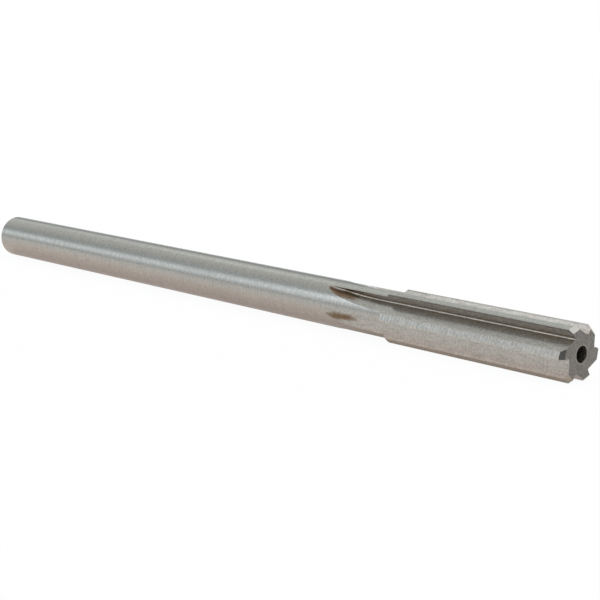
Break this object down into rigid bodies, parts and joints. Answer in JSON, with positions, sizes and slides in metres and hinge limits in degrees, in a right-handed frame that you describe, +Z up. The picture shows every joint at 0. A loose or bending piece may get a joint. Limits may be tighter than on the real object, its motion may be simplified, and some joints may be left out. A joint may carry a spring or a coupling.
{
  "type": "reamer",
  "caption": "Straight-shank chucking reamer with straight flutes, chamfered relieved teeth, curved flute runouts and a centre hole at each end.",
  "frame": {"origin": "middle of the box in X and Y, on the surface that the reamer lies on; its axis is 5.77 mm above", "axes": "+X along the axis from the shank end to the cutting end, +Z up as it lies at rest on the heel of one land and the next cutting edge"},
  "size_m": [0.2032, 0.0126, 0.0115],
  "materials": {
    "ground_steel": "bright ground tool steel, fine grinding lines round the shank, light brown heat tint where the flutes run out"
  },
  "bodies": {
    "root": {"reamer_body": "ground_steel"}
  },
  "joints": []
}
